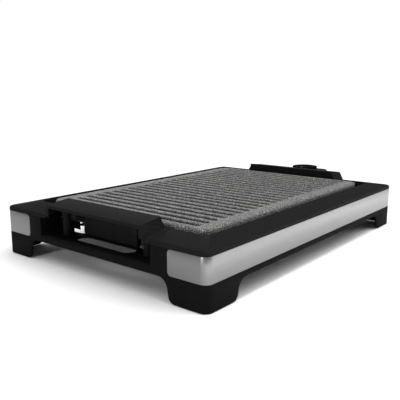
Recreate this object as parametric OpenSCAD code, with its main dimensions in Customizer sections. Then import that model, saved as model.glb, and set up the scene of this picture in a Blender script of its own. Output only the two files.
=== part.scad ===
// Electric table griddle with a lift-off ribbed plate, a drip drawer and a plug-in thermostat.
// Millimetres, +Z up, resting on z = 0, long side along X.
// The drawer is at the -X end and the thermostat at the +X end.

/* [Body] */
// Length of the body between its two end faces
body_l = 500; // [440:5:620]
// Width of the body between its two long faces
body_w = 354; // [300:2:440]
// Radius of the body's upright corners
corner_r = 10; // [6:1:16]
// Height of the bezel's outer edge
bezel_z = 67; // [64:0.5:84]
// Rise of the bezel from its outer edge to the opening
bezel_rise = 5; // [2:0.5:8]
// Inset and drop of the rounded outer edge of the bezel
edge_round = 3; // [1:0.5:5]
// Wall of the plastic mouldings
wall = 2.5; // [2:0.1:3]

/* [Feet and skirt] */
// Height of the skirt's lower edge on the long faces
skirt_z_long = 24; // [20:1:30]
// Height of the skirt's lower edge on the end faces
skirt_z_end = 28; // [20:1:30]
// Length of a foot along the long face
foot_l = 55; // [45:1:70]
// Width of a foot along the end face
foot_w = 53; // [45:1:70]
// Radius of the round at the bottom of a foot
foot_toe_r = 9; // [5:1:10]
// Radius of the hollow where a foot runs into the skirt
foot_fillet_r = 13; // [8:1:14]
// Lean of a foot's inner side, in degrees
foot_lean = 9; // [4:1:12]
// How far the rubber pads stand below the feet
pad_proud = 0.6; // [0.4:0.1:1.5]
// Radius of a rubber pad
pad_r = 5.5; // [4:0.5:7]
// Distance of a rubber pad's middle from the two outer faces
pad_inset = 10.5; // [9:0.5:14]

/* [Steel bands] */
// Height of the bands' lower edge
band_z = 31.5; // [30.5:0.5:34]
// Sheet thickness of the bands
band_t = 0.7; // [0.5:0.1:1]
// How far each band's end face return stops short of the middle
band_return_y = 123.5; // [110:0.5:128]
// Radius of the corners at the ends of a band
band_corner_r = 5; // [2:0.5:8]
// Spacing of a band's four tabs
tab_pitch = 120; // [90:5:140]
// Width of a tab
tab_w = 10; // [6:1:14]

/* [Handles and recesses] */
// Half width of the recess in each end
recess_half = 99; // [92:1:104]
// Height of the recess floor
recess_z = 38; // [36:0.5:39]
// Half width of the raised grip at its top
grip_half = 84; // [78:1:86]
// Half width of the raised grip at its foot
grip_foot_half = 90.5; // [88:0.5:93]
// Height of the grip's top at the outer edge
grip_outer_z = 79.4; // [79:0.5:88]
// Height of the grip's top at the inner edge
grip_inner_z = 83.5; // [82:0.5:92]
// Depth of the lip that hangs at the front of the grip
grip_lip = 4; // [2:0.5:6]
// Distance of a grip post from the middle
post_y = 73.5; // [66:0.5:76]
// Radius of a grip post
post_r = 5.5; // [4.5:0.5:6]
// Half length of the slot through the recess floor
slot_half = 50; // [40:1:56]
// Width of the slot through the recess floor
slot_w = 20; // [12:1:20]

/* [Plate] */
// Length of the cooking plate
plate_l = 405; // [350:1:520]
// Width of the cooking plate
plate_w = 274.4; // [220:1:360]
// Height of the plate's top above the bezel's inner edge
plate_proud = 1.4; // [0.5:0.1:6]
// Thickness of the plate at its rim
plate_h = 12; // [10:0.5:14]
// Radius of the plate's corners
plate_r = 12; // [8:1:16]
// Gap all round between the plate and the bezel's opening
plate_gap = [12, 11.3]; // [8:0.1:14]
// Spacing of the grooves
rib_pitch = 16.4; // [13:0.1:20]
// Width of a groove
groove_w = 8.6; // [6:0.1:10]
// Depth of a groove
groove_d = 4; // [2:0.1:5]
// Width of the flat rim beside the groove ends
rim_side = 18.5; // [14:0.5:26]
// Depth of the pocket under the plate
pocket_d = 2.6; // [2:0.1:3]
// Radius of the drain hole
drain_r = 3.5; // [2.5:0.5:4]

/* [Heater] */
// Radius of the heating tube
element_r = 3.2; // [3:0.1:3.3]
// Sheet thickness of the heat shield
shield_t = 0.8; // [0.6:0.1:1]
// Half distance between the two terminal pins
pin_y = 14; // [12:0.5:16]
// Radius of a terminal pin
pin_r = 2.2; // [2:0.1:2.5]
// Radius of the thermostat's probe
probe_r = 2.95; // [2.5:0.05:3]
// Length of the probe beyond the case
probe_reach = 92; // [70:1:110]

/* [Drip drawer] */
// Length of the drip tray
tray_l = 190; // [150:5:220]
// Half width of the drip tray
tray_half = 64; // [54:1:64]
// Depth of the drip tray
tray_d = 9.5; // [7:0.5:10]
// Sheet thickness of the drip tray
tray_t = 0.8; // [0.6:0.1:1.2]
// Half width of the drawer's front
front_half = 48; // [40:1:50]
// How far the drawer's finger lip reaches out
lip_out = 10; // [6:0.5:12]
// How far the finger lip runs past each side of the front
lip_side = 6; // [0:0.5:8]

/* [Thermostat] */
// Half width of the thermostat's case
case_half = 33; // [28:1:38]
// How far the case stands out from the end face
case_out = 61; // [54:1:80]
// Height of the case's top
case_z = 73; // [71:0.5:74]
// Height of the case's underside
case_floor_z = 44; // [42:0.5:46]
// Radius of the knob
knob_r = 22.8; // [18:0.2:25]
// Height of the knob
knob_h = 6.6; // [5:0.2:12]
// Radius of the knob's spindle
spindle_r = 3; // [2.5:0.1:4]
// Radius of the cord inlet's hole
inlet_r = 3.4; // [3:0.1:4]

/* [Fits] */
// Radial clearance of pins, shafts and screws in their holes
fit = 0.05; // [0.02:0.01:0.08]
// Clearance between neighbouring mouldings
gap = 0.3; // [0.2:0.05:0.5]

/* [Hidden] */
$fn = 48;
eps = 0.01;

half_l = body_l / 2;
half_w = body_w / 2;
// the body's corner radius inside the bands
inner_r = corner_r - wall;
// the opening in the bezel
open_l = plate_l + 2 * plate_gap[0];
open_w = plate_w + 2 * plate_gap[1];
open_x = open_l / 2;
open_r = 10;
bezel_top = bezel_z + bezel_rise;
// the frame sits on the shell above the bands
band_top = bezel_z - 6;
frame_foot = band_top - 5;
// slope of the bezel at the two ends
edge_x = half_l - edge_round - 0.5;
bezel_slope = bezel_rise / (edge_x - open_x);
function bezel_at(x) = bezel_z + (edge_x - x) * bezel_slope;
// the grip runs from the end face to the opening
grip_in = open_x + 0.5;
grip_slope = (grip_inner_z - grip_outer_z) / (half_l - grip_in);
function grip_at(x) = grip_outer_z + (half_l - x) * grip_slope;
post_x = half_l - 23;
slot_x = half_l - 14 - slot_w / 2;
// the cooking plate
plate_top = bezel_top + plate_proud;
plate_z = plate_top - plate_h;
web_z = plate_z + pocket_d;
rim_under = 12.5;
groove_count = 2 * floor((plate_l / 2 - 9.5 + rib_pitch / 2 - groove_w / 2) / rib_pitch);
first_groove = -(groove_count - 1) / 2 * rib_pitch;
groove_l = plate_w - 2 * rim_side;
// the heat shield hangs below the plate
shield_flange = frame_foot - shield_t;
shield_z = plate_z - 10.4;
shield_top = shield_z + shield_t;
support_x = plate_l / 2 - 9;
support_y = plate_w / 2 - 9;
// the plug connection at the thermostat's end
plug_z = plate_z - 5;
block_x = plate_l / 2 - 10.5;
block_l = 14;
shroud_x = open_x - 4.5;
shroud_l = 22;
shroud_half = pin_y + 10;
shroud_h = 15;
sheet = 1.2;
pin_end = shroud_x + 18;
neck_half = shroud_half - sheet - gap;
neck_h = shroud_h - 2 * sheet - 2 * gap;
neck_x = shroud_x + 4;
case_x = half_l - 14;
case_end = half_l + case_out;
case_split = plug_z + neck_h / 2 + 1.6;
case_wall = 2;
knob_x = half_l + 26;
gland_out = 8;
probe_tip = neck_x - probe_reach;
sleeve_cap = 1.2;
sleeve_x = probe_tip - probe_r - sleeve_cap - 1;
knob_z = case_z + 0.4;
// the drip drawer
tray_front_x = -(open_x - 1.5);
tray_z = recess_z + 2.6;
tray_top = tray_z + tray_d;
rail_half = tray_half + gap + 0.4;
// fasteners
screw_r = 1.75;
screw_head_r = 3.4;
corner_x = half_l - 24;
corner_y = half_w - 25;
corner_boss_top = frame_foot - 4;
head_seat = 36;
rivet_r = 1.5;
pad_seat = pad_proud + 1.4;
pad_x = half_l - pad_inset;
pad_y = half_w - pad_inset;
pad_shelf = pad_proud + 3.4;
pad_stem_r = 1.9;
boss_r = 6.5;
boss_foot = skirt_z_end + 2;
// the whole footprint, from the drawer's end face to the tip of the cord inlet
shift_x = -(case_end + gland_out - half_l) / 2;

black = [0.10, 0.10, 0.10];
steel = [0.72, 0.72, 0.72];
stone = [0.42, 0.42, 0.42];

// Moves a piece from the middle of the body to the row's origin, under the whole footprint.
module placed() translate([shift_x, 0, 0]) children();

module both_ends() { children(); mirror([1, 0, 0]) children(); }
module both_sides() { children(); mirror([0, 1, 0]) children(); }
module four_corners() both_ends() both_sides() children();

module rounded_rect(l, w, r) {
    square([l - 2 * r, w], center = true);
    square([l, w - 2 * r], center = true);
    for (x = [-1, 1], y = [-1, 1]) translate([x * (l / 2 - r), y * (w / 2 - r)]) circle(r);
}

module slab(l, w, r, z0, z1) translate([0, 0, z0]) linear_extrude(z1 - z0) rounded_rect(l, w, r);

module ring(l, w, r, t, z0, z1) difference() {
    slab(l, w, r, z0, z1);
    slab(l - 2 * t, w - 2 * t, max(r - t, 0.5), z0 - 1, z1 + 1);
}

module box(x0, x1, y0, y1, z0, z1) translate([x0, y0, z0]) cube([x1 - x0, y1 - y0, z1 - z0]);

// A shape drawn in X and Z, drawn out along Y between two places.
module along_y(y0, y1) translate([0, y1, 0]) rotate([90, 0, 0]) linear_extrude(y1 - y0) children();

// A shape drawn in Y and Z, drawn out along X between two places.
module along_x(x0, x1)
    translate([x0, 0, 0]) rotate([90, 0, 90]) linear_extrude(x1 - x0) children();

// A round bar along X.
module bar(x0, x1, y, z, r) translate([x0, y, z]) rotate([0, 90, 0]) cylinder(h = x1 - x0, r = r);

module post(x, y, z0, z1, r) translate([x, y, z0]) cylinder(h = z1 - z0, r = r);

// A pan-head screw that points up, with its head's underside at seat_z.
module screw(x, y, seat_z, tip_z) {
    post(x, y, seat_z - 2.2, seat_z, screw_head_r);
    post(x, y, seat_z - eps, tip_z, screw_r);
}

function arc(cx, cz, r, a0, a1, n) =
    [for (i = [0:n]) let (a = a0 + (a1 - a0) * i / n) [cx + r * cos(a), cz + r * sin(a)]];

// Outline of the arch between two feet: foot is a foot's size and skirt the skirt's height.
module arch(half, foot, skirt) {
    toe_u = foot - foot_toe_r;
    run = (skirt - foot_fillet_r - foot_toe_r + (foot_toe_r + foot_fillet_r) * sin(foot_lean))
        / cos(foot_lean);
    fillet_u = toe_u + (foot_toe_r + foot_fillet_r) * cos(foot_lean) + run * sin(foot_lean);
    side = concat(
        [[-half + toe_u, -1]],
        arc(-half + toe_u, foot_toe_r + pad_proud, foot_toe_r, -90, -foot_lean, 6),
        arc(-half + fillet_u, skirt - foot_fillet_r, foot_fillet_r, 180 - foot_lean, 90, 6));
    other = [for (i = [len(side) - 1:-1:0]) [-side[i][0], side[i][1]]];
    polygon(concat(side, other));
}

// The band's outline in Y and Z on one long side.
module band_profile() translate([-half_w - 10, (band_z + band_top) / 2]) {
    w = half_w + 10 - band_return_y;
    h = band_top - band_z;
    translate([w - 20, 0]) rounded_rect(40, h, band_corner_r);
    translate([(w - band_corner_r) / 2, 0]) square([w - band_corner_r, h], center = true);
}

module band() {
    intersection() {
        ring(body_l, body_w, corner_r, band_t, band_z, band_top);
        along_x(-half_l - 1, half_l + 1) band_profile();
    }
    band_tabs(0);
}

module band_seat() intersection() {
    difference() {
        slab(body_l + 2, body_w + 2, corner_r + 1, band_z, band_top + 1);
        slab(body_l - 2 * band_t, body_w - 2 * band_t, corner_r - band_t, 0, band_top + 2);
    }
    along_x(-half_l - 2, half_l + 2) band_profile();
}

// Tabs that hold one band, bent through slots in the shell.
module band_tabs(grow) for (i = [-1.5, -0.5, 0.5, 1.5]) translate([i * tab_pitch, 0, 0])
    box(-tab_w / 2 - grow, tab_w / 2 + grow, -half_w + band_t - eps, -half_w + wall + 1.4,
        band_top - 8 - grow, band_top - 7.2 + grow);

// The recess at the -X end: floor with a rounded front edge, two side walls and a back wall.
module recess_walls() {
    lip_r = 4;
    y1 = recess_half + wall;
    along_y(-y1, y1) polygon(concat(
        [[-half_l, skirt_z_end], [-half_l, recess_z - lip_r]],
        arc(-half_l + lip_r, recess_z - lip_r, lip_r, 180, 90, 5),
        [[-open_x + wall, recess_z], [-open_x + wall, recess_z - wall],
         [-half_l + lip_r, recess_z - wall], [-half_l + wall, recess_z - lip_r],
         [-half_l + wall, skirt_z_end]]));
    both_sides() {
        box(-half_l, -open_x + wall, recess_half, y1, recess_z - wall, shield_flange);
        box(-half_l, -open_x - wall - gap, recess_half, y1, shield_flange - eps, band_top);
    }
    box(-open_x, -open_x + wall, -y1, y1, recess_z - wall, shield_flange);
}

module floor_slot() {
    r = slot_w / 2;
    translate([-slot_x, 0, recess_z - wall - 1]) linear_extrude(wall + 2) {
        square([slot_w, 2 * (slot_half - r)], center = true);
        for (s = [-1, 1]) translate([0, s * (slot_half - r)]) circle(r);
    }
}

// A boss for a frame screw, held to the long wall and the end wall by two ribs.
module corner_boss() {
    rib = 1;
    post(corner_x, corner_y, boss_foot, corner_boss_top, boss_r);
    box(corner_x - rib, corner_x + rib, corner_y, half_w - wall + eps, boss_foot, corner_boss_top);
    box(corner_x, half_l - wall + eps, corner_y - rib, corner_y + rib, boss_foot, corner_boss_top);
}

// The shelf in the corner of a foot that a rubber pad is pressed into.
module pad_shelf() intersection() {
    slab(body_l - 1, body_w - 1, corner_r - 0.5, pad_proud, pad_shelf);
    box(pad_x - pad_r - 2, half_l, pad_y - pad_r - 2, half_w, 0, pad_shelf);
}

module base_shell() color(black) placed() difference() {
    union() {
        difference() {
            slab(body_l, body_w, corner_r, pad_proud, band_top);
            along_x(-half_l - 1, half_l + 1) arch(half_w, foot_w, skirt_z_end);
            along_y(-half_w - 1, half_w + 1) arch(half_l, foot_l, skirt_z_long);
            slab(body_l - 2 * wall, body_w - 2 * wall, inner_r, -1, band_top + 1);
            // the way into each recess
            both_ends() box(-half_l - 1, -half_l + wall + 1.5, -recess_half, recess_half,
                            recess_z - 4, band_top + 1);
        }
        both_ends() recess_walls();
        four_corners() {
            corner_boss();
            pad_shelf();
        }
        both_ends() both_sides() post(-post_x, post_y, boss_foot, recess_z - wall + eps, 5);
    }
    band_seat();
    mirror([0, 1, 0]) band_seat();
    both_ends() floor_slot();
    both_sides() band_tabs(0.05);
    four_corners() {
        post(pad_x, pad_y, -1, pad_seat, pad_r + fit);
        post(pad_x, pad_y, 0, pad_shelf + 1, pad_stem_r + fit);
    }
    // the drawer's way in, and the plug's
    box(-open_x - 1, -open_x + wall + 1, -rail_half - 13, rail_half + 13, recess_z, band_top);
    box(open_x - wall - 1, open_x + 1, -shroud_half - gap, shroud_half + gap,
        plug_z - shroud_h / 2 - gap, band_top);
    four_corners() {
        post(corner_x, corner_y, -1, head_seat, screw_head_r + 0.6);
        post(corner_x, corner_y, 0, corner_boss_top + 1, screw_r + fit);
    }
    both_ends() both_sides() post(-post_x, post_y, boss_foot - 1, recess_z + 1, screw_r + fit);
}

module top_frame() color(black) placed() difference() {
    union() {
        difference() {
            hull() {
                slab(body_l, body_w, corner_r, band_top, bezel_z - edge_round);
                slab(body_l - 2, body_w - 2, corner_r - 1, bezel_z - 1, bezel_z - 0.8);
                slab(2 * edge_x, 2 * (half_w - half_l + edge_x), corner_r - edge_round,
                     bezel_z - 0.2, bezel_z);
                slab(open_l, open_w, open_r, bezel_top - 0.1, bezel_top);
            }
            hull() {
                slab(body_l - 2 * wall, body_w - 2 * wall, inner_r, band_top - 1,
                     bezel_z - edge_round - 1);
                slab(2 * edge_x - 2 * wall, 2 * (half_w - half_l + edge_x) - 2 * wall, 4,
                     bezel_z - wall - 0.2, bezel_z - wall);
                slab(open_l + 2 * wall, open_w + 2 * wall, open_r + wall, bezel_top - wall - 0.1,
                     bezel_top - wall);
            }
        }
        ring(open_l + 2 * wall, open_w + 2 * wall, open_r + wall, wall, frame_foot, bezel_top - 1);
        four_corners() post(corner_x, corner_y, corner_boss_top, bezel_at(corner_x) - 1, 4.5);
    }
    slab(open_l, open_w, open_r, frame_foot - 1, bezel_top + 1);
    // the handles take the place of the bezel at the middle of each end
    both_ends() box(-half_l - 1, -open_x - wall, -recess_half, recess_half, band_top - 1,
                    bezel_top + 1);
    // the plug's way in
    box(open_x - 1, open_x + wall + 1, -shroud_half - gap, shroud_half + gap, frame_foot - 1,
        plug_z + shroud_h / 2 + gap);
    four_corners() post(corner_x, corner_y, frame_foot - 5, bezel_z - 3.5, screw_r + fit);
}

module front_band() color(steel) placed() band();
module rear_band() color(steel) placed() mirror([0, 1, 0]) band();

// One handle at the -X end: two flanges in line with the bezel, and a raised hollow grip.
module handle() difference() {
    x_in = -open_x - wall - gap / 2;
    union() {
        // flanges
        both_sides() along_y(grip_foot_half - 3, recess_half - gap) polygon([
            [-half_l, bezel_z - 5.5], [-half_l, bezel_z - edge_round], [-half_l + 1, bezel_z - 0.9],
            [-edge_x, bezel_z], [x_in, bezel_at(-x_in)], [x_in, bezel_at(-x_in) - 2.5],
            [-edge_x, bezel_z - 2.5], [-half_l + wall, bezel_z - 5.5]]);
        difference() {
            grip_solid(0);
            grip_solid(wall);
            // open at the front below the lip, and all the way down
            box(-half_l - 1, -half_l + wall + 1, -grip_half + 3, grip_half - 3, bezel_z - 8,
                grip_outer_z - grip_lip);
        }
        both_sides() {
            post(-post_x, post_y, recess_z, grip_at(post_x + post_r) - 1, post_r);
            box(-post_x - 4, -post_x - 1, 50, 60, bezel_z - 6, grip_at(post_x + 4) - 1);
        }
    }
    both_sides() post(-post_x, post_y, recess_z - 1, recess_z + 20, screw_r + fit);
}

// The grip's body, or with inset its hollow: an end outline crossed with a front outline.
module grip_solid(inset) intersection() {
    foot_z = bezel_z - (inset > 0 ? 12 : 2.8);
    x_in = grip_in + inset;
    half_foot = grip_foot_half - inset;
    half_top = grip_half - inset;
    along_y(-half_w, half_w) polygon([
        [-half_l + inset, foot_z], [-half_l + inset, grip_outer_z - inset],
        [-x_in, grip_inner_z - inset], [-x_in, inset > 0 ? foot_z : bezel_top + 0.15],
        [-open_x - wall - gap / 2 - inset, inset > 0 ? foot_z : bezel_top + 0.15],
        [-open_x - wall - gap / 2 - inset, inset > 0 ? foot_z : bezel_top - 3]]);
    along_x(-half_l - 1, 0) polygon([
        [half_foot, foot_z], [half_foot, bezel_z + 1], [half_top, grip_outer_z],
        [half_top, grip_inner_z + 1], [-half_top, grip_inner_z + 1], [-half_top, grip_outer_z],
        [-half_foot, bezel_z + 1], [-half_foot, foot_z]]);
}

module tray_end_handle() color(black) placed() handle();
module control_end_handle() color(black) placed() mirror([1, 0, 0]) handle();

// Press-in rubber pads: a round foot, a stem through the shelf and a bulb above it.
module foot_pads() color([0.15, 0.15, 0.15]) placed() four_corners() {
    post(pad_x, pad_y, 0, pad_seat, pad_r);
    post(pad_x, pad_y, pad_seat - eps, pad_shelf + 1, pad_stem_r);
    post(pad_x, pad_y, pad_shelf + 0.1, pad_shelf + 1.6, pad_stem_r + 0.8);
}

module heat_shield() color([0.75, 0.76, 0.78]) placed() difference() {
    union() {
        ring(open_l + 2 * wall, open_w + 2 * wall, open_r + wall, 11, shield_flange, frame_foot);
        ring(open_l - 14, open_w - 14, 6, shield_t, shield_z, frame_foot);
        slab(open_l - 14, open_w - 14, 6, shield_z, shield_top);
    }
    post(first_groove, 0, shield_z - 1, shield_top + 1, drain_r + 4);
    box(open_x - 12, open_x + 10, -shroud_half - gap, shroud_half + gap, shield_top,
        frame_foot + 1);
}

module plate_supports() color([0.85, 0.85, 0.82]) placed() four_corners()
    post(support_x, support_y, shield_top, plate_z, 4);

// Half of the heating tube's run: three lanes along X and the turns between them.
turn_r = (plate_w / 2 - 35.2 - pin_y) / 4;
lane_y = [pin_y, pin_y + 2 * turn_r, pin_y + 4 * turn_r];
lane_x = [-plate_l / 2 + 92, plate_l / 2 - 67, -plate_l / 2 + 67];

module tube(x0, x1, y) bar(x0, x1, y, 0, element_r, $fn = 24);
module tube_turn(x, y, a0, a1) translate([x, y, 0]) rotate([0, 0, a0])
    rotate_extrude(angle = a1 - a0) translate([turn_r, 0]) circle(element_r, $fn = 24);

module heating_element() color([0.35, 0.33, 0.30]) placed() translate([0, 0, plug_z]) {
    both_sides() {
        tube(lane_x[0], block_x + 6, lane_y[0]);
        tube_turn(lane_x[0], lane_y[0] + turn_r, 90, 270);
        tube(lane_x[0], lane_x[1], lane_y[1]);
        tube_turn(lane_x[1], lane_y[1] + turn_r, -90, 90);
        tube(lane_x[2], lane_x[1], lane_y[2]);
        tube_turn(lane_x[2], lane_y[2] - turn_r, 90, 180);
    }
    translate([lane_x[2] - turn_r, -lane_y[2] + turn_r, 0]) rotate([-90, 0, 0])
        cylinder(h = 2 * (lane_y[2] - turn_r), r = element_r, $fn = 24);
}

// Steel saddles over the heating tube.
module element_clips() color(steel) placed() both_ends() both_sides() difference() {
    clip_t = 0.8;
    x0 = -lane_x[0] - 26.5;
    x1 = x0 + 8;
    y = lane_y[1];
    bore = element_r + fit;
    outer = bore + clip_t;
    union() {
        bar(x0, x1, y, plug_z, outer);
        box(x0, x1, y - outer, y + outer, shield_top, plug_z);
        box(x0, x1, y - 11, y + 11, shield_top, shield_top + clip_t);
    }
    bar(x0 - 1, x1 + 1, y, plug_z, bore);
    box(x0 - 1, x1 + 1, y - bore, y + bore, shield_top - 1, plug_z);
}

module terminal_block() color([0.88, 0.86, 0.80]) placed() difference() {
    box(block_x, block_x + block_l, -pin_y - 7, pin_y + 7, shield_top, plate_z - 0.5);
    both_sides() {
        bar(block_x - 1, block_x + 6, pin_y, plug_z, element_r + fit);
        bar(block_x, block_x + block_l + 1, pin_y, plug_z, pin_r + fit);
    }
    bar(block_x - 1, block_x + block_l + 1, 0, plug_z, probe_r + 1);
}

module terminal_pins() color(steel) placed() both_sides()
    bar(block_x + 6, pin_end, pin_y, plug_z, pin_r);

// A steel guard round the pins, with a back plate and a flange on the shell's back wall.
module connector_shroud() color(steel) placed() difference() {
    h = shroud_h / 2;
    union() {
        box(shroud_x, shroud_x + shroud_l, -shroud_half, shroud_half, plug_z - h, plug_z + h);
        box(open_x, open_x + sheet, -shroud_half - 8, shroud_half + 8, plug_z - h - 3,
            shield_flange - 0.2);
    }
    box(shroud_x + sheet, shroud_x + shroud_l + 1, -shroud_half + sheet, shroud_half - sheet,
        plug_z - h + sheet, plug_z + h - sheet);
    both_sides() bar(shroud_x - 1, shroud_x + 3, pin_y, plug_z, pin_r + 2);
    bar(shroud_x - 1, shroud_x + 3, 0, plug_z, probe_r + 1);
}

module probe_sleeve() color(steel) placed() difference() {
    union() {
        bar(sleeve_x, block_x - 2, 0, plug_z, probe_r + fit + 1.2);
        for (x = [sleeve_x + 4, block_x - 14]) box(x, x + 8, -3, 3, shield_top, plug_z);
    }
    bar(sleeve_x + sleeve_cap, block_x, 0, plug_z, probe_r + fit);
}

// Rails for the drip drawer: a shelf and a web under the shield, with a plate at the front.
module tray_rails() color(steel) placed() both_sides() {
    shelf_z = tray_top - tray_t - 0.1;
    x0 = tray_front_x + 0.5;
    x1 = tray_front_x + tray_l + 8;
    box(x0, x1, tray_half - 3, rail_half + 1, shelf_z - 1, shelf_z);
    box(x0, x1, rail_half, rail_half + 1, shelf_z - 1, shield_z);
    box(x1 - 1, x1, tray_half - 3, rail_half + 1, shelf_z - 1, shield_z);
    box(tray_front_x - 0.6, x0 + eps, rail_half, rail_half + 12.2, tray_z + 2.4,
        shield_flange - 0.3);
}

module frame_screws() color(steel) placed() four_corners()
    screw(corner_x, corner_y, head_seat, bezel_z - 5);

module handle_screws() color(steel) placed() four_corners()
    screw(post_x, post_y, boss_foot, recess_z + 18);

module grill_plate() color(stone) placed() difference() {
    union() {
        hull() {
            slab(plate_l, plate_w, plate_r, plate_z, plate_top - 4);
            slab(plate_l - 1.2, plate_w - 1.2, plate_r - 0.6, plate_top - 2.3, plate_top - 2.2);
            slab(plate_l - 3.2, plate_w - 3.2, plate_r - 1.6, plate_top - 1.1, plate_top - 1);
            slab(plate_l - 7, plate_w - 7, plate_r - 3.5, plate_top - 0.1, plate_top);
        }
        post(first_groove, 0, plate_z - 3, web_z + 1, drain_r + 1.8);
    }
    difference() {
        slab(plate_l - 2 * rim_under, plate_w - 2 * rim_under, 6, plate_z - 1, web_z);
        post(first_groove, 0, plate_z - 3, web_z + 1, drain_r + 1.8);
    }
    for (i = [0:groove_count - 1]) translate([first_groove + i * rib_pitch, 0, 0]) {
        slab(groove_w, groove_l, groove_w / 2 - eps, plate_top - groove_d, plate_top + 1);
    }
    post(first_groove, 0, plate_z - 4, plate_top, drain_r);
}

tray_cx = tray_front_x + tray_l / 2;
rivet_z = tray_z + tray_d / 2 + 0.6;
module drip_tray() color([0.78, 0.79, 0.80]) placed() translate([tray_cx, 0, 0]) difference() {
    union() {
        slab(tray_l, 2 * tray_half - 8, 5, tray_z, tray_top);
        slab(tray_l, 2 * tray_half, 5, tray_top - tray_t, tray_top);
    }
    slab(tray_l - 2 * tray_t, 2 * tray_half - 8 - 2 * tray_t, 5 - tray_t, tray_z + tray_t,
         tray_top + 1);
    both_sides() bar(-tray_l / 2 - 1, -tray_l / 2 + 2, front_half - 18, rivet_z, rivet_r + fit);
}

// The drawer's front: an upright panel on a spacer, with a finger lip that runs out over the slot.
module tray_front() color(black) placed() difference() {
    x = tray_front_x;
    panel_x = -open_x - wall - 2 * gap;
    panel_t = 2;
    lip_x = panel_x - lip_out;
    lip_z = recess_z + 1.4;
    lip_half = front_half + lip_side;
    union() {
        along_y(-front_half, front_half) polygon([
            [x, tray_z + 1.4], [x, shield_flange - 0.4], [panel_x, shield_flange - 0.4],
            [panel_x, bezel_z - 1], [panel_x - panel_t, bezel_z - 1], [panel_x - panel_t, lip_z],
            [panel_x, lip_z]]);
        along_y(-lip_half, lip_half) polygon([
            [panel_x, lip_z], [panel_x, lip_z + 1.8], [panel_x - panel_t, lip_z + 1.8],
            [lip_x + 1.6, lip_z + 2.4], [lip_x + 0.8, lip_z + 2.9], [lip_x, lip_z + 2.6],
            [lip_x, lip_z + 1.6], [lip_x + 1, lip_z + 0.9]]);
    }
    both_sides() bar(x - 3, x + 1, front_half - 18, rivet_z, rivet_r + fit);
}

module tray_rivets() color(steel) placed() both_sides() {
    bar(tray_front_x - 2.8, tray_front_x + tray_t + eps, front_half - 18, rivet_z, rivet_r);
    bar(tray_front_x + tray_t, tray_front_x + tray_t + 1, front_half - 18, rivet_z, 2.8);
}

case_l = case_end - case_x;
case_cx = (case_end + case_x) / 2;
case_screw_x = case_l / 2 - 8;
case_screw_y = case_half - 9;
lamp_x = case_end - 10;
lamp_y = 14;
lamp_r = 2.4;
gland_z = case_floor_z + 9.5;
unit_half = 16;
unit_x = [knob_x - 18, knob_x + 18];
unit_z = [case_floor_z + case_wall, case_split - 2];

module case_outline(inset) rounded_rect(case_l - 2 * inset, 2 * (case_half - inset), 8 - inset);
module case_bosses(z0, z1, r) translate([case_cx, 0, 0])
    for (x = [-1, 1], y = [-1, 1]) post(x * case_screw_x, y * case_screw_y, z0, z1, r);

module case_bottom() color(black) placed() difference() {
    h = neck_h / 2;
    union() {
        difference() {
            translate([case_cx, 0, 0]) hull() {
                translate([0, 0, case_floor_z]) linear_extrude(0.1) case_outline(2.5);
                translate([0, 0, case_floor_z + 2.5]) linear_extrude(case_split - case_floor_z - 2.5)
                    case_outline(0);
            }
            translate([case_cx, 0, case_floor_z + case_wall]) linear_extrude(30)
                case_outline(2.6);
        }
        box(neck_x, case_x + 4, -neck_half, neck_half, plug_z - h, plug_z + h);
        case_bosses(case_floor_z + 1, case_split, 4.4);
    }
    case_bosses(case_floor_z - 1, case_split + 1, screw_r + fit);
    case_bosses(case_floor_z - 1, case_floor_z + 2.4, 3.6);
    both_sides() bar(neck_x - 1, case_x + 5, pin_y, plug_z, pin_r + 1.3 + fit);
    bar(neck_x - 1, case_x + 5, 0, plug_z, probe_r + fit);
    bar(case_end - 4, case_end + 1, 0, gland_z, inlet_r + 1.8 + fit);
}

module case_top() color(black) placed() difference() {
    union() {
        translate([case_cx, 0, 0]) difference() {
            hull() {
                translate([0, 0, case_split]) linear_extrude(case_z - case_split - 3)
                    case_outline(0);
                translate([0, 0, case_z - 0.1]) linear_extrude(0.1) case_outline(3);
            }
            hull() {
                translate([0, 0, case_split - 1]) linear_extrude(case_z - case_split - 4)
                    case_outline(2.6);
                translate([0, 0, case_z - case_wall - 0.1]) linear_extrude(0.1)
                    case_outline(4.6);
            }
        }
        case_bosses(case_split, case_z - 1, 3.8);
        post(knob_x, 0, case_split + 1, case_z - 1, 6.5);
    }
    case_bosses(case_split - 1, case_split + 6, screw_r + fit);
    post(knob_x, 0, case_split - 1, case_z + 1, spindle_r + fit);
    post(lamp_x, lamp_y, case_split - 1, case_z + 1, lamp_r + fit);
}

module contact_sockets() color([0.72, 0.60, 0.35]) placed() both_sides() difference() {
    bar(neck_x + 1.5, case_x + 5, pin_y, plug_z, pin_r + 1.3);
    bar(neck_x, pin_end + 2, pin_y, plug_z, pin_r + fit);
}

module probe_rod() color(steel) placed() {
    bar(probe_tip, unit_x[0], 0, plug_z, probe_r);
    translate([probe_tip, 0, plug_z]) sphere(r = probe_r);
}

module thermostat_unit() color([0.80, 0.78, 0.72]) placed() difference() {
    box(unit_x[0], unit_x[1], -unit_half, unit_half, unit_z[0], unit_z[1]);
    post(knob_x, 0, unit_z[1] - 8, unit_z[1] + 1, spindle_r + fit);
}

module internal_leads() color([0.70, 0.35, 0.15]) placed() {
    both_sides() bar(case_x + 5, unit_x[0], pin_y, plug_z, 1.2);
    both_sides() bar(unit_x[1], case_end - 8, 9, gland_z, 1.2);
}

module pilot_lamp() color([0.45, 0.08, 0.06]) placed() {
    post(lamp_x, lamp_y, case_z - case_wall - 3, case_z + 0.4, lamp_r);
    post(lamp_x, lamp_y, case_z - case_wall - 3, case_z - case_wall - 0.2, lamp_r + 0.8);
}

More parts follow.
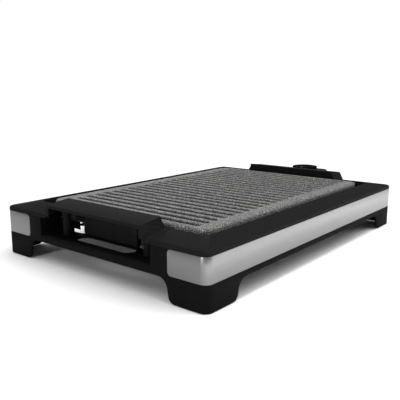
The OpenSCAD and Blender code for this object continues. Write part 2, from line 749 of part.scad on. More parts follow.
// The cord inlet: a grommet in the case's end wall, with a bore for the cord.
module cord_gland() color([0.12, 0.12, 0.12]) placed() difference() {
    union() {
        bar(case_end - 4.5, case_end + gland_out, 0, gland_z, inlet_r + 1.8);
        bar(case_end, case_end + 2, 0, gland_z, inlet_r + 4);
        bar(case_end - 5, case_end - 3, 0, gland_z, inlet_r + 3.2);
    }
    bar(case_end - 6, case_end + gland_out + 1, 0, gland_z, inlet_r);
}

module case_screws() color(steel) placed() {
    case_bosses(case_floor_z + 0.4, case_floor_z + 2.4, 3.2);
    case_bosses(case_floor_z + 2.4 - eps, case_split + 5, screw_r);
}

module control_knob() color(black) placed() difference() {
    translate([knob_x, 0, knob_z]) rotate_extrude($fn = 72) polygon([
        [spindle_r + fit, 0], [7, 0], [7, knob_h - 2.6], [knob_r - 2, knob_h - 2.6],
        [knob_r - 2, 0], [knob_r, 0], [knob_r, knob_h - 1.2], [knob_r - 0.4, knob_h - 0.4],
        [knob_r - 1.2, knob_h], [0, knob_h], [0, knob_h - 1.8], [spindle_r + fit, knob_h - 1.8]]);
    box(knob_x - knob_r + 4, knob_x - 8, -0.9, 0.9, knob_z + knob_h - 0.6, knob_z + knob_h + 1);
}

module knob_shaft() color(steel) placed()
    post(knob_x, 0, unit_z[1] - 7.8, knob_z + knob_h - 1.85, spindle_r);

module knob_pointer() color([0.85, 0.85, 0.85]) placed()
    box(knob_x - knob_r + 4.05, knob_x - 8.05, -0.85, 0.85, knob_z + knob_h - 0.6,
        knob_z + knob_h);

base_shell();
top_frame();
front_band();
rear_band();
tray_end_handle();
control_end_handle();
foot_pads();
heat_shield();
plate_supports();
heating_element();
element_clips();
terminal_block();
terminal_pins();
connector_shroud();
probe_sleeve();
tray_rails();
frame_screws();
handle_screws();
grill_plate();
drip_tray();
tray_front();
tray_rivets();
case_bottom();
case_top();
contact_sockets();
probe_rod();
thermostat_unit();
internal_leads();
pilot_lamp();
cord_gland();
case_screws();
control_knob();
knob_shaft();
knob_pointer();
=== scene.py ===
import math

import bmesh
import bpy
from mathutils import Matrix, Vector


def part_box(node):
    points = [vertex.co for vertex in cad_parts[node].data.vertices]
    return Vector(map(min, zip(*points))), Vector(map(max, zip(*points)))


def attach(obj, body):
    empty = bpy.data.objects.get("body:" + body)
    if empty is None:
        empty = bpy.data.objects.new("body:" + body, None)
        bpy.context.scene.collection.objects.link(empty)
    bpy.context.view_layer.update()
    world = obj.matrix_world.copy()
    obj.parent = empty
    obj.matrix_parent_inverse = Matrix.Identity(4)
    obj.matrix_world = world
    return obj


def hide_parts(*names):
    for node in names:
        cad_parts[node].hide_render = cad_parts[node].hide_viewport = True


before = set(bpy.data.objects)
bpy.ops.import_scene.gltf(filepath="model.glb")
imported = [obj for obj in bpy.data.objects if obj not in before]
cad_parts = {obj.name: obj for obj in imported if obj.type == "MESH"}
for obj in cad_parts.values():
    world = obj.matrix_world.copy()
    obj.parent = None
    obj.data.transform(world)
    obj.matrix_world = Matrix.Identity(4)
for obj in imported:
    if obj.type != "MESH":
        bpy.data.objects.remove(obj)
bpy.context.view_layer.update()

# Sizes in metres, in the frame: the body's middle lies a little to the -X side of the origin.
MM = 0.001
shell_low, shell_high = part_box("base_shell")
BODY_X = (shell_low.x + shell_high.x) / 2
plate_low, plate_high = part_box("grill_plate")
knob_low, knob_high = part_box("control_knob")
KNOB = (knob_low + knob_high) / 2


# ---------------------------------------------------------------- shader maths

class Wire:
    """The output of a shader node. Arithmetic on it adds Math nodes."""

    def __init__(self, finish, socket):
        self.finish = finish
        self.socket = socket

    def math(self, operation, *values):
        return self.finish.add("ShaderNodeMath", {"operation": operation}, dict(enumerate(values)))

    def __add__(self, other):
        return self.math("ADD", self, other)

    def __radd__(self, other):
        return self.math("ADD", other, self)

    def __sub__(self, other):
        return self.math("SUBTRACT", self, other)

    def __rsub__(self, other):
        return self.math("SUBTRACT", other, self)

    def __mul__(self, other):
        return self.math("MULTIPLY", self, other)

    def __rmul__(self, other):
        return self.math("MULTIPLY", other, self)


class Finish:
    """A material while it is built. add() makes one node and gives back an output."""

    def __init__(self, name):
        self.material = bpy.data.materials.new(name)
        self.material.use_nodes = True
        self.tree = self.material.node_tree
        self.shader = self.tree.nodes["Principled BSDF"]
        self.place = self.add("ShaderNodeTexCoord", out="Object")

    def add(self, kind, settings=None, inputs=None, out=0):
        node = self.tree.nodes.new(kind)
        for key, value in (settings or {}).items():
            if key == "stops":
                self.set_stops(node.color_ramp, value)
            else:
                setattr(node, key, value)
        self.connect(node, inputs or {})
        return Wire(self, node.outputs[out])

    def connect(self, node, inputs):
        for key, value in inputs.items():
            if isinstance(value, Wire):
                self.tree.links.new(value.socket, node.inputs[key])
            else:
                node.inputs[key].default_value = value

    def set_stops(self, ramp, stops):
        while len(ramp.elements) < len(stops):
            ramp.elements.new(0.5)
        for element, (position, value) in zip(ramp.elements, stops):
            element.position = position
            element.color = (value, value, value, 1)

    def stretched(self, scale, turn=(0, 0, 0)):
        """The piece's own coordinates, scaled by a factor along each axis."""
        return self.add("ShaderNodeMapping", None,
                        {"Vector": self.place, "Scale": scale, "Rotation": turn}, "Vector")

    def noise(self, scale, detail=3, roughness=0.55, at=None):
        return self.add("ShaderNodeTexNoise", None,
                        {"Vector": at or self.place, "Scale": scale, "Detail": detail,
                         "Roughness": roughness}, 0)

    def cells(self, scale, at=None, feature="F1", out="Distance"):
        return self.add("ShaderNodeTexVoronoi", {"feature": feature},
                        {"Vector": at or self.place, "Scale": scale}, out)

    def ramp(self, value, *stops):
        return self.add("ShaderNodeValToRGB", {"stops": stops}, {"Fac": value})

    def mix(self, amount, first, second):
        return self.add("ShaderNodeMix", {"data_type": "RGBA"},
                        {0: amount, 6: first, 7: second}, 2)

    def axis(self, name):
        return self.add("ShaderNodeSeparateXYZ", None, {0: self.place}, name)

    def bump(self, height, strength, distance, after=None):
        inputs = {"Height": height, "Strength": strength, "Distance": distance}
        if after is not None:
            inputs["Normal"] = after
        return self.add("ShaderNodeBump", None, inputs)

    def set(self, **inputs):
        self.connect(self.shader, {key.replace("_", " "): value for key, value in inputs.items()})
        return self.material


def grey(value, tint=(1, 1, 1)):
    return (value * tint[0], value * tint[1], value * tint[2], 1)


# ---------------------------------------------------------------- materials

def moulded_plastic(name, shade, roughness, grain=1.0, gloss=0.07):
    """Spark-textured moulding: a fine pebble grain, soft sheen patches, a few hairline scuffs."""
    f = Finish(name)
    pebble = f.cells(1500)
    cloud = f.noise(14, 4)
    fine = f.noise(900, 2)
    scuff = f.ramp(f.noise(60, 5, 0.7, f.stretched((0.5, 9, 9), (0.3, 0.2, 0.5))),
                   (0.66, 0), (0.74, 1))
    dust = f.ramp(f.noise(420, 2, 0.6), (0.70, 0), (0.80, 1))
    body = f.mix(cloud, grey(shade * 0.86), grey(shade * 1.14, (1, 1, 1.01)))
    body = f.mix(fine * 0.35, body, grey(shade * 1.5))
    body = f.mix(scuff * 0.10, body, grey(shade * 3.2))
    body = f.mix(dust * 0.06, body, grey(0.30))
    rough = cloud * 0.10 + fine * 0.06 + (roughness - 0.08) - scuff * 0.06
    fine_bump = f.bump(fine, 0.10 * grain, 0.00010)
    normal = f.bump(pebble, 0.14 * grain, 0.00012, fine_bump)
    return f.set(Base_Color=body, Roughness=rough, Normal=normal,
                 Specular_IOR_Level=gloss)


def brushed_steel():
    """Stainless strip brushed lengthways, with long soft bands and stray hairlines."""
    f = Finish("brushed_stainless")
    strokes = f.noise(1, 4, 0.7, f.stretched((9, 9, 2600)))
    hairs = f.ramp(f.noise(1, 3, 0.6, f.stretched((22, 22, 5200))), (0.60, 0), (0.72, 1))
    cloud = f.noise(5, 3)
    smear = f.ramp(f.noise(26, 4, 0.6), (0.52, 0), (0.75, 1))
    tone = f.mix(strokes, grey(0.150), grey(0.195, (1, 1.0, 0.995)))
    tone = f.mix(cloud * 0.25, tone, grey(0.21))
    tone = f.mix(hairs * 0.18, tone, grey(0.28))
    rough = strokes * 0.10 + smear * 0.05 + 0.24
    normal = f.bump(strokes, 0.16, 0.00006, f.bump(hairs, 0.08, 0.00003))
    return f.set(Base_Color=tone, Metallic=1.0, Roughness=rough, Normal=normal)


def rolled_steel(name, shade, roughness, tint=(1, 1, 1.01)):
    """Plain sheet or turned metal: mill grain, faint stains and tiny pits."""
    f = Finish(name)
    grain = f.noise(1, 3, 0.6, f.stretched((60, 900, 900)))
    stain = f.noise(18, 5, 0.6)
    pits = f.ramp(f.cells(700), (0.05, 1), (0.12, 0))
    tone = f.mix(grain, grey(shade * 0.9, tint), grey(shade * 1.08, tint))
    tone = f.mix(stain * 0.35, tone, grey(shade * 0.72, (1.0, 0.96, 0.90)))
    rough = stain * 0.16 + grain * 0.06 + (roughness - 0.10)
    normal = f.bump(grain, 0.10, 0.00005, f.bump(pits, -0.10, 0.00005))
    return f.set(Base_Color=tone, Metallic=1.0, Roughness=rough, Normal=normal)


def stone_coating():
    """Non-stick coat over cast metal: a grey ground, pale and dark flecks of several sizes, and
    painted shade on the groove floors.
    """
    f = Finish("stone_coating")
    ground = f.noise(160, 4, 0.7)
    mottle = f.noise(620, 3, 0.7)
    pale = f.ramp(f.noise(760, 2, 0.5), (0.55, 0), (0.61, 1))
    pale_big = f.ramp(f.cells(330), (0.12, 1), (0.24, 0))
    dark = f.ramp(f.noise(620, 2, 0.5, f.stretched((1, 1, 1), (0.4, 0.9, 0.2))),
                  (0.55, 0), (0.61, 1))
    tone = f.mix(ground, grey(0.042), grey(0.078))
    tone = f.mix(mottle, tone, grey(0.108, (1, 1, 0.985)))
    tone = f.mix(dark * 0.85, tone, grey(0.018))
    tone = f.mix(pale * 0.90, tone, grey(0.44, (1, 1, 0.98)))
    tone = f.mix(pale_big * 0.60, tone, grey(0.50))
    # Painted shade: in the grooved middle the colour darkens towards the groove floors, in place
    # of the shade that falls in the grooves.
    painted_shade_depth = 4.2 * MM
    depth = f.ramp((f.axis("Z") - (plate_high.z - painted_shade_depth)) * (1 / painted_shade_depth), (0.40, 1), (0.92, 0))
    across = f.axis("X") - BODY_X
    along = f.axis("Y")
    half_length, half_width = 195 * MM, plate_high.y - 17 * MM
    painted_shade_zone = (across.math("COMPARE", across, 0, half_length)
               * along.math("COMPARE", along, 0, half_width))
    # The painted groove shade is mixed in here, towards near-black.
    tone = f.mix(depth * painted_shade_zone * 0.82, tone, grey(0.016))
    rough = mottle * 0.16 + 0.44 - pale * 0.08
    lumps = f.bump(mottle, 0.22, 0.00018)
    normal = f.bump(ground, 0.25, 0.00035, lumps)
    return f.set(Base_Color=tone, Roughness=rough, Normal=normal, Specular_IOR_Level=0.20)


def ceramic():
    f = Finish("steatite")
    cloud = f.noise(90, 4)
    specks = f.ramp(f.cells(520), (0.06, 1), (0.13, 0))
    tone = f.mix(cloud, grey(0.66, (1, 0.97, 0.90)), grey(0.78, (1, 0.98, 0.93)))
    tone = f.mix(specks * 0.4, tone, grey(0.30, (1, 0.9, 0.75)))
    return f.set(Base_Color=tone, Roughness=cloud * 0.15 + 0.5,
                 Normal=f.bump(cloud, 0.12, 0.0002))


def heater_sheath():
    """Heat-darkened steel sheath with bluish and brown tempering."""
    f = Finish("heater_sheath")
    bands = f.noise(22, 4, 0.6)
    scale_marks = f.noise(300, 3, 0.6)
    tone = f.mix(bands, grey(0.075, (1.0, 0.93, 0.85)), grey(0.12, (0.90, 0.95, 1.05)))
    tone = f.mix(scale_marks * 0.4, tone, grey(0.16, (1.0, 0.92, 0.82)))
    return f.set(Base_Color=tone, Metallic=0.85, Roughness=scale_marks * 0.2 + 0.42,
                 Normal=f.bump(scale_marks, 0.15, 0.0001))


def soft_rubber(name, shade):
    f = Finish(name)
    cloud = f.noise(40, 4)
    grain = f.noise(1400, 2)
    dust = f.ramp(f.noise(260, 3, 0.6), (0.60, 0), (0.78, 1))
    tone = f.mix(cloud, grey(shade * 0.85), grey(shade * 1.2))
    tone = f.mix(dust * 0.10, tone, grey(0.25, (1, 0.98, 0.94)))
    return f.set(Base_Color=tone, Roughness=cloud * 0.12 + 0.72, Normal=f.bump(grain, 0.2, 0.0001))


def lamp_red():
    f = Finish("lamp_red")
    flow = f.noise(240, 2)
    tone = f.mix(flow, (0.20, 0.008, 0.006, 1), (0.34, 0.016, 0.012, 1))
    return f.set(Base_Color=tone, Roughness=flow * 0.05 + 0.10, Coat_Weight=0.6,
                 Normal=f.bump(f.cells(900), 0.1, 0.0001))


def lead_sleeve():
    f = Finish("silicone_sleeve")
    weave = f.noise(1, 2, 0.5, f.stretched((900, 300, 300)))
    tone = f.mix(weave, (0.30, 0.085, 0.020, 1), (0.46, 0.15, 0.045, 1))
    return f.set(Base_Color=tone, Roughness=weave * 0.1 + 0.55, Normal=f.bump(weave, 0.2, 0.0001))


def pale_print():
    """Pad-printed marks, slightly worn."""
    f = Finish("pale_print")
    wear = f.ramp(f.noise(700, 3, 0.6), (0.58, 0), (0.72, 1))
    tone = f.mix(wear * 0.6, grey(0.060), grey(0.020))
    return f.set(Base_Color=tone, Roughness=wear * 0.15 + 0.5, Normal=f.bump(wear, -0.1, 0.00004))


PLASTIC = moulded_plastic("black_moulding", 0.0080, 0.62, 1.0, 0.025)
SHELL = moulded_plastic("black_shell", 0.0045, 0.62, 1.0, 0.02)
KNOB_BLACK = moulded_plastic("knob_moulding", 0.0022, 0.66, 0.6, 0.002)
STEEL = brushed_steel()
SHEET = rolled_steel("rolled_sheet", 0.52, 0.34)
COATED = rolled_steel("coated_sheet", 0.030, 0.45)
PAN = rolled_steel("aluminised_pan", 0.20, 0.48, (1, 0.99, 0.97))
SCREW = rolled_steel("zinc_screw", 0.48, 0.30, (1, 1, 1.03))
BRASS = rolled_steel("plated_contact", 0.55, 0.28, (1.0, 0.86, 0.58))
TRAY = rolled_steel("tray_aluminium", 0.16, 0.46, (1, 1, 1.02))
STONE = stone_coating()
CERAMIC = ceramic()
SHEATH = heater_sheath()
RUBBER = soft_rubber("black_rubber", 0.022)
LAMP = lamp_red()
SLEEVE = lead_sleeve()
PRINT = pale_print()


# ---------------------------------------------------------------- modelling helpers

def clear_selection():
    if bpy.context.mode != "OBJECT":
        bpy.ops.object.mode_set(mode="OBJECT")
    bpy.ops.object.select_all(action="DESELECT")


def make_active(piece):
    clear_selection()
    piece.select_set(True)
    bpy.context.view_layer.objects.active = piece


def block(name, low, high):
    """A box between two corners."""
    clear_selection()
    low, high = Vector(low), Vector(high)
    bpy.ops.mesh.primitive_cube_add(size=1, location=(low + high) / 2)
    piece = bpy.context.object
    piece.name = name
    piece.scale = high - low
    bpy.ops.object.transform_apply(location=True, rotation=True, scale=True)
    return piece


def rod(name, start, end, radius, vertices=32):
    """A round bar between two points."""
    clear_selection()
    start, end = Vector(start), Vector(end)
    turn = (end - start).to_track_quat("Z", "Y").to_euler()
    bpy.ops.mesh.primitive_cylinder_add(vertices=vertices, radius=radius,
                                        depth=(end - start).length,
                                        location=(start + end) / 2, rotation=turn)
    piece = bpy.context.object
    piece.name = name
    bpy.ops.object.transform_apply(location=True, rotation=True, scale=True)
    return piece


def edit(piece, kind, test):
    """Goes into edit mode with only the elements chosen that pass the test."""
    make_active(piece)
    bpy.ops.object.mode_set(mode="EDIT")
    bpy.ops.mesh.select_mode(type=kind)
    mesh = bmesh.from_edit_mesh(piece.data)
    for group in (mesh.verts, mesh.edges, mesh.faces):
        for element in group:
            element.select = False
    chosen = {"VERT": mesh.verts, "EDGE": mesh.edges, "FACE": mesh.faces}[kind]
    for element in chosen:
        if test(element):
            element.select_set(True)
    bmesh.update_edit_mesh(piece.data)


def done():
    bpy.ops.object.mode_set(mode="OBJECT")


def bevel_edges(piece, test, width, segments=3):
    edit(piece, "EDGE", test)
    bpy.ops.mesh.bevel(offset=width, segments=segments, affect="EDGES", clamp_overlap=True)
    done()


def modify(piece, kind, **settings):
    make_active(piece)
    modifier = piece.modifiers.new(kind.lower(), kind)
    for key, value in settings.items():
        setattr(modifier, key, value)
    bpy.ops.object.modifier_apply(modifier=modifier.name)


def joined(name, pieces):
    clear_selection()
    for piece in pieces:
        piece.select_set(True)
    bpy.context.view_layer.objects.active = pieces[0]
    if len(pieces) > 1:
        bpy.ops.object.join()
    pieces[0].name = name
    return pieces[0]


def ready(piece, material, body, nodes=(), angle=32):
    """Smooths, paints and mounts a finished piece."""
    make_active(piece)
    piece.data.materials.clear()
    piece.data.materials.append(material)
    for polygon in piece.data.polygons:
        polygon.material_index = 0
    bpy.ops.object.shade_smooth_by_angle(angle=math.radians(angle))
    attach(piece, body)
    if nodes:
        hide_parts(*nodes)
    return piece


def refined(node, material, body, width, segments=2, angle=32):
    """A merged copy of a node's shape with its edges rounded, in place of the node."""
    piece = bpy.data.objects.new(node + "_rounded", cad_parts[node].data.copy())
    bpy.context.collection.objects.link(piece)
    edit(piece, "VERT", lambda vertex: True)
    bpy.ops.mesh.remove_doubles(threshold=0.002 * MM)
    bpy.ops.mesh.dissolve_limited(angle_limit=math.radians(0.5))
    done()
    modify(piece, "BEVEL", width=width, segments=segments, limit_method="ANGLE",
           angle_limit=math.radians(angle), use_clamp_overlap=False, harden_normals=False,
           miter_outer="MITER_ARC")
    return ready(piece, material, body, [node])


def paint(material, *nodes):
    for node in nodes:
        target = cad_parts[node]
        if not target.material_slots:
            target.data.materials.append(material)
        for place in target.material_slots:
            place.material = material


# ---------------------------------------------------------------- the pieces

# The cooking plate's grooves, its rim and the pocket under it.
GROOVES = 24
GROOVE_PITCH = 16.4 * MM
GROOVE_WIDTH = 8.6 * MM
GROOVE_DEPTH = 4 * MM
GROOVE_END_INSET = 18.5 * MM
RIM_HEIGHT = 12 * MM
PLATE_CORNER = 12 * MM
POCKET_INSET = 12.5 * MM
POCKET_DEPTH = 2.6 * MM
SPOUT_RADIUS = 5.3 * MM
DRAIN_RADIUS = 3.5 * MM


def cooking_plate():
    """Ribbed cast plate: rounded rim, grooves with round ends, soft shoulders, drain hole."""
    low, high = plate_low, plate_high
    rim_low = high.z - RIM_HEIGHT
    middle = (GROOVES - 1) / 2
    piece = block("ribbed_plate", (low.x, low.y, rim_low), high)
    bevel_edges(piece, lambda e: abs(e.verts[0].co.z - e.verts[1].co.z) > 5 * MM,
                PLATE_CORNER, 8)
    bevel_edges(piece, lambda e: all(v.co.z > high.z - 0.1 * MM for v in e.verts), 3.6 * MM, 5)
    bevel_edges(piece, lambda e: all(v.co.z < rim_low + 0.1 * MM for v in e.verts), 0.8 * MM, 2)
    pocket = block("pocket", (low.x + POCKET_INSET, low.y + POCKET_INSET, rim_low - 5 * MM),
                   (high.x - POCKET_INSET, high.y - POCKET_INSET, rim_low + POCKET_DEPTH))
    bevel_edges(pocket, lambda e: abs(e.verts[0].co.z - e.verts[1].co.z) > 5 * MM, 6 * MM, 4)
    modify(piece, "BOOLEAN", operation="DIFFERENCE", object=pocket, solver="EXACT")
    bpy.data.objects.remove(pocket)

    radius = GROOVE_WIDTH / 2
    floor_z = high.z - GROOVE_DEPTH
    reach = high.y - GROOVE_END_INSET
    cutters = []
    for i in range(GROOVES):
        x = BODY_X + (i - middle) * GROOVE_PITCH
        cutter = rod("groove", (x, 0, floor_z), (x, 0, high.z + 3 * MM), radius, 24)
        edit(cutter, "VERT", lambda v: v.co.y > 0.01 * MM)
        bpy.ops.transform.translate(value=(0, reach - radius, 0))
        done()
        edit(cutter, "VERT", lambda v: v.co.y <= 0.01 * MM)
        bpy.ops.transform.translate(value=(0, radius - reach, 0))
        done()
        bevel_edges(cutter, lambda e: all(v.co.z < floor_z + 0.1 * MM for v in e.verts),
                    2.4 * MM, 4)
        cutters.append(cutter)
    grooves = joined("grooves", cutters)
    modify(piece, "BOOLEAN", operation="DIFFERENCE", object=grooves, solver="EXACT")
    bpy.data.objects.remove(grooves)

    def groove_edge(e):
        flat = all(v.co.z > high.z - 0.05 * MM for v in e.verts)
        inside = all(abs(v.co.y) < reach + 0.5 * MM and abs(v.co.x - BODY_X) < 195 * MM
                     for v in e.verts)
        return flat and inside and len(e.link_faces) == 2 and e.calc_face_angle(0) > 0.3
    bevel_edges(piece, groove_edge, 1.5 * MM, 3)

    x = BODY_X - middle * GROOVE_PITCH
    spout = rod("spout", (x, 0, low.z), (x, 0, rim_low + 4 * MM), SPOUT_RADIUS, 32)
    modify(piece, "BOOLEAN", operation="UNION", object=spout, solver="EXACT")
    bpy.data.objects.remove(spout)
    drain = rod("drain", (x, 0, low.z - 5 * MM), (x, 0, high.z + 5 * MM), DRAIN_RADIUS, 32)
    modify(piece, "BOOLEAN", operation="DIFFERENCE", object=drain, solver="EXACT")
    bpy.data.objects.remove(drain)
    return ready(piece, STONE, "plate", ["grill_plate"], 40)


# The dial's sides, its rim and hollow foot, and the marks on it.
DIAL_SIDES = 96
DIAL_RIM = 1.6 * MM
DIAL_FOOT_WALL = 2 * MM
DIAL_FOOT_DEPTH = 3.8 * MM
TICKS = 16
TICK_OUTER = 18.4 * MM
TICK_SINK = 0.46 * MM


def dial_knob():
    """Flat dial with a rounded rim, a shallow dish and a ring of fine grip flutes."""
    radius = (knob_high.x - knob_low.x) / 2
    top, foot = knob_high.z, knob_low.z
    piece = rod("dial_knob_body", (KNOB.x, KNOB.y, foot), (KNOB.x, KNOB.y, top), radius,
                DIAL_SIDES)
    edit(piece, "FACE", lambda f: f.normal.z > 0.9)
    bpy.ops.mesh.inset(thickness=DIAL_RIM)
    bpy.ops.mesh.inset(thickness=1.0 * MM, depth=-0.5 * MM)
    bpy.ops.mesh.inset(thickness=11 * MM)
    done()
    edit(piece, "FACE", lambda f: f.normal.z < -0.9)
    bpy.ops.mesh.inset(thickness=DIAL_FOOT_WALL)
    bpy.ops.mesh.inset(thickness=0.3 * MM, depth=-DIAL_FOOT_DEPTH)
    done()
    edge_angle = math.tau / DIAL_SIDES

    def flute(face):
        middle = face.calc_center_median()
        turn = math.atan2(middle.y - KNOB.y, middle.x - KNOB.x) / edge_angle
        outside = (middle.xy - KNOB.xy).length > radius - 1 * MM and abs(face.normal.z) < 0.1
        return outside and int(math.floor(turn)) % 2 == 0
    edit(piece, "FACE", flute)
    bpy.ops.mesh.inset(thickness=0.22 * MM, depth=-0.35 * MM, use_individual=True)
    done()
    modify(piece, "BEVEL", width=0.7 * MM, segments=3, limit_method="ANGLE",
           angle_limit=math.radians(60), use_clamp_overlap=True)
    return ready(piece, KNOB_BLACK, "knob", ["control_knob"])


def dial_marks():
    """A ring of short ticks on the dial, longer at every third one, and the pointer line."""
    base = KNOB.xy.to_3d() + Vector((0, 0, knob_high.z - TICK_SINK))
    ticks = []
    for i in range(TICKS):
        turn = math.radians(-150 + i * 300 / (TICKS - 1))
        long_tick = i % 3 == 0
        inner = (15.2 if long_tick else 16.6) * MM
        out = Vector((-math.cos(turn), math.sin(turn), 0))
        thick = (0.30 if long_tick else 0.22) * MM
        ticks.append(rod("tick", base + out * inner, base + out * TICK_OUTER, thick, 8))
    marks = joined("dial_ticks", ticks)
    ready(marks, PRINT, "knob")
    low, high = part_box("knob_pointer")
    pointer = block("dial_pointer", (low.x, low.y, high.z - 1.0 * MM),
                    (high.x, high.y, high.z - 0.3 * MM))
    bevel_edges(pointer, lambda e: True, 0.25 * MM, 3)
    ready(pointer, PRINT, "knob", ["knob_pointer"])


def screw_head(name, centre, radius, height):
    """A pan head that faces down, domed, with a cross recess for the driver."""
    centre = Vector(centre)
    head = rod(name, centre, centre + Vector((0, 0, height)), radius, 40)
    bevel_edges(head, lambda e: all(v.co.z < centre.z + 0.1 * height for v in e.verts),
                0.42 * height, 4)
    wing, deep = 0.62 * radius, 0.55 * height
    for across, along in ((0.17 * radius, wing), (wing, 0.17 * radius)):
        cutter = block("cross", centre - Vector((across, along, height)),
                       centre + Vector((across, along, deep)))
        modify(head, "BOOLEAN", operation="DIFFERENCE", object=cutter, solver="EXACT")
        bpy.data.objects.remove(cutter)
    return head


def screw_set(name, node, body, radius, shank, head_height):
    """The four screws of a node: turned heads with a cross recess on round shanks."""
    low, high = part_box(node)
    screws = []
    for x in (low.x + radius, high.x - radius):
        for y in (low.y + radius, high.y - radius):
            foot = Vector((x, y, low.z))
            screws.append(screw_head("screw", foot, radius, head_height))
            stem = rod("stem", foot + Vector((0, 0, head_height - 0.02 * MM)),
                       Vector((x, y, high.z)), shank, 24)
            bevel_edges(stem, lambda e: all(v.co.z > high.z - 0.1 * MM for v in e.verts),
                        0.5 * shank, 2)
            screws.append(stem)
    return ready(joined(name, screws), SCREW, body, [node])


refined("base_shell", SHELL, "base", 0.7 * MM)
refined("top_frame", PLASTIC, "base", 0.6 * MM, 2, 40)
refined("tray_end_handle", PLASTIC, "base", 0.7 * MM, 3)
refined("control_end_handle", PLASTIC, "base", 0.7 * MM, 3)
refined("front_band", STEEL, "base", 0.2 * MM)
refined("rear_band", STEEL, "base", 0.2 * MM)
refined("foot_pads", RUBBER, "base", 0.4 * MM)
refined("drip_tray", TRAY, "drawer", 0.25 * MM)
refined("tray_front", PLASTIC, "drawer", 0.5 * MM, 3, 25)
refined("case_bottom", PLASTIC, "thermostat", 0.4 * MM, 2, 50)
refined("case_top", PLASTIC, "thermostat", 0.5 * MM, 2, 50)
refined("cord_gland", RUBBER, "thermostat", 0.3 * MM)
cooking_plate()
dial_knob()
dial_marks()
SHANK = 1.75 * MM
screw_set("frame_screw_set", "frame_screws", "base", 3.4 * MM, SHANK, 2.2 * MM)
screw_set("handle_screw_set", "handle_screws", "base", 3.4 * MM, SHANK, 2.2 * MM)
screw_set("case_screw_set", "case_screws", "thermostat", 3.2 * MM, SHANK, 2.0 * MM)

paint(PAN, "heat_shield", "connector_shroud")
paint(SHEET, "element_clips", "probe_sleeve", "probe_rod")
paint(COATED, "tray_rails")
paint(SCREW, "tray_rivets", "knob_shaft")
paint(BRASS, "terminal_pins", "contact_sockets")
paint(CERAMIC, "plate_supports", "terminal_block", "thermostat_unit")
paint(SHEATH, "heating_element")
paint(SLEEVE, "internal_leads")
paint(LAMP, "pilot_lamp")


# ---------------------------------------------------------------- camera, floor and light

def stage_material(name, shade):
    f = Finish(name)
    cloud = f.noise(3, 2)
    return f.set(Base_Color=f.mix(cloud, grey(shade), grey(shade * 0.99)), Roughness=0.9)


FLOOR_SIZE = 12


def floor():
    """A flat pale floor."""
    clear_selection()
    bpy.ops.mesh.primitive_plane_add(size=FLOOR_SIZE, location=(0, 0, 0))
    plane = bpy.context.object
    plane.name = "floor"
    plane.data.materials.append(stage_material("pale_floor", 0.92))


def softbox(name, place, size, power, target=(0, 0, 0), spread=180):
    """A rectangular light that faces a target, with its beam as wide as spread in degrees."""
    data = bpy.data.lights.new(name, "AREA")
    data.shape = "RECTANGLE"
    data.size, data.size_y = size
    data.energy = power
    data.spread = math.radians(spread)
    lamp = bpy.data.objects.new(name, data)
    lamp.location = place
    lamp.rotation_euler = (Vector(target) - Vector(place)).to_track_quat("-Z", "Y").to_euler()
    bpy.context.collection.objects.link(lamp)


def sun(name, place, spread, power):
    """Far-off soft light from the direction of a place, as wide as spread in degrees."""
    data = bpy.data.lights.new(name, "SUN")
    data.angle = math.radians(spread)
    data.energy = power
    lamp = bpy.data.objects.new(name, data)
    lamp.rotation_euler = (-Vector(place)).to_track_quat("-Z", "Y").to_euler()
    bpy.context.collection.objects.link(lamp)


CAMERA_PLACE = (BODY_X - 649.1 * MM, -491.8 * MM, 224.1 * MM)
CAMERA_PITCH = -11.59
CAMERA_YAW = 39.05
CAMERA_LENS = 48.64
CAMERA_SENSOR = 36


def camera():
    """Low three-quarter view over the drawer end's front corner."""
    data = bpy.data.cameras.new("camera")
    data.sensor_width = CAMERA_SENSOR
    data.lens = CAMERA_LENS
    eye = bpy.data.objects.new("camera", data)
    eye.location = CAMERA_PLACE
    pitch, yaw = math.radians(CAMERA_PITCH), math.radians(CAMERA_YAW)
    eye.rotation_euler = (math.pi / 2 + pitch, 0, yaw - math.pi / 2)
    bpy.context.collection.objects.link(eye)
    bpy.context.scene.camera = eye


# How bright the surround is: the viewer's side, straight above, and far behind to the left.
AMBIENT = 0.12
CEILING = 1.5
FAR_LEFT_TONE = 0.9
VIEW_DIRECTION = (0.776, 0.630, 0)
FAR_LEFT = (0.34, 0.89, 0.30)


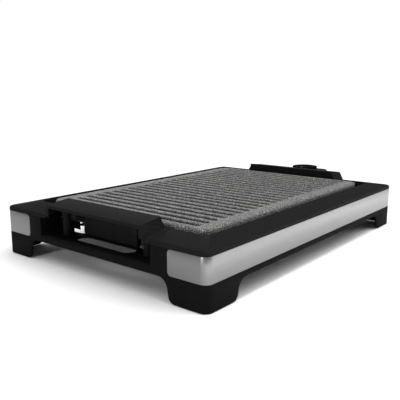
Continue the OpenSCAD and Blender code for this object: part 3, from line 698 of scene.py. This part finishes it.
def studio_world():
    """Soft surround: white and low behind the object, dim above and behind the viewer."""
    world = bpy.data.worlds.new("studio")
    world.use_nodes = True
    tree = world.node_tree
    sky = tree.nodes["Background"]
    direction = tree.nodes.new("ShaderNodeTexCoord").outputs["Generated"]

    def lobe(axis, low, high):
        """Rises from 0 to 1 as the direction's share along an axis goes from low to high."""
        share = tree.nodes.new("ShaderNodeVectorMath")
        share.operation = "DOT_PRODUCT"
        share.inputs[1].default_value = axis
        tree.links.new(direction, share.inputs[0])
        ramp = tree.nodes.new("ShaderNodeMapRange")
        ramp.interpolation_type = "SMOOTHSTEP"
        ramp.inputs["From Min"].default_value = low
        ramp.inputs["From Max"].default_value = high
        tree.links.new(share.outputs["Value"], ramp.inputs["Value"])
        return ramp.outputs["Result"]

    def product(first, second):
        node = tree.nodes.new("ShaderNodeMath")
        node.operation = "MULTIPLY"
        for place, value in zip(node.inputs, (first, second)):
            tree.links.new(value, place)
        return node.outputs[0]

    def blend(amount, first, second):
        mix = tree.nodes.new("ShaderNodeMix")
        mix.data_type = "RGBA"
        tree.links.new(amount, mix.inputs[0])
        if isinstance(first, tuple):
            mix.inputs[6].default_value = first
        else:
            tree.links.new(first, mix.inputs[6])
        mix.inputs[7].default_value = second
        return mix.outputs[2]

    behind = lobe(VIEW_DIRECTION, -0.1, 0.5)
    low = lobe((0, 0, -1), -0.22, -0.165)
    tone = blend(product(behind, low), grey(AMBIENT), grey(1.0))
    tone = blend(lobe(FAR_LEFT, 0.78, 0.95), tone, grey(FAR_LEFT_TONE))
    tone = blend(lobe((0, 0, 1), 0.55, 0.75), tone, grey(CEILING))
    seen = tree.nodes.new("ShaderNodeLightPath").outputs["Is Camera Ray"]
    tone = blend(seen, tone, grey(1.0))
    tree.links.new(tone, sky.inputs["Color"])
    sky.inputs["Strength"].default_value = 1.0
    bpy.context.scene.world = world


bpy.context.scene.view_settings.view_transform = "Standard"
studio_world()
floor()
camera()
sun("key", (0.35, -0.35, 0.85), 60, 1.0)
sun("side_box", (0.776, -0.63, 0.17), 36, 1.0)
softbox("floor_wash", (0.02, -0.50, 1.2), (1.4, 0.45), 4.8, (0.02, -0.50, 0), 20)
softbox("end_strip", (-2.4, -0.10, 0.60), (0.5, 1.1), 18)
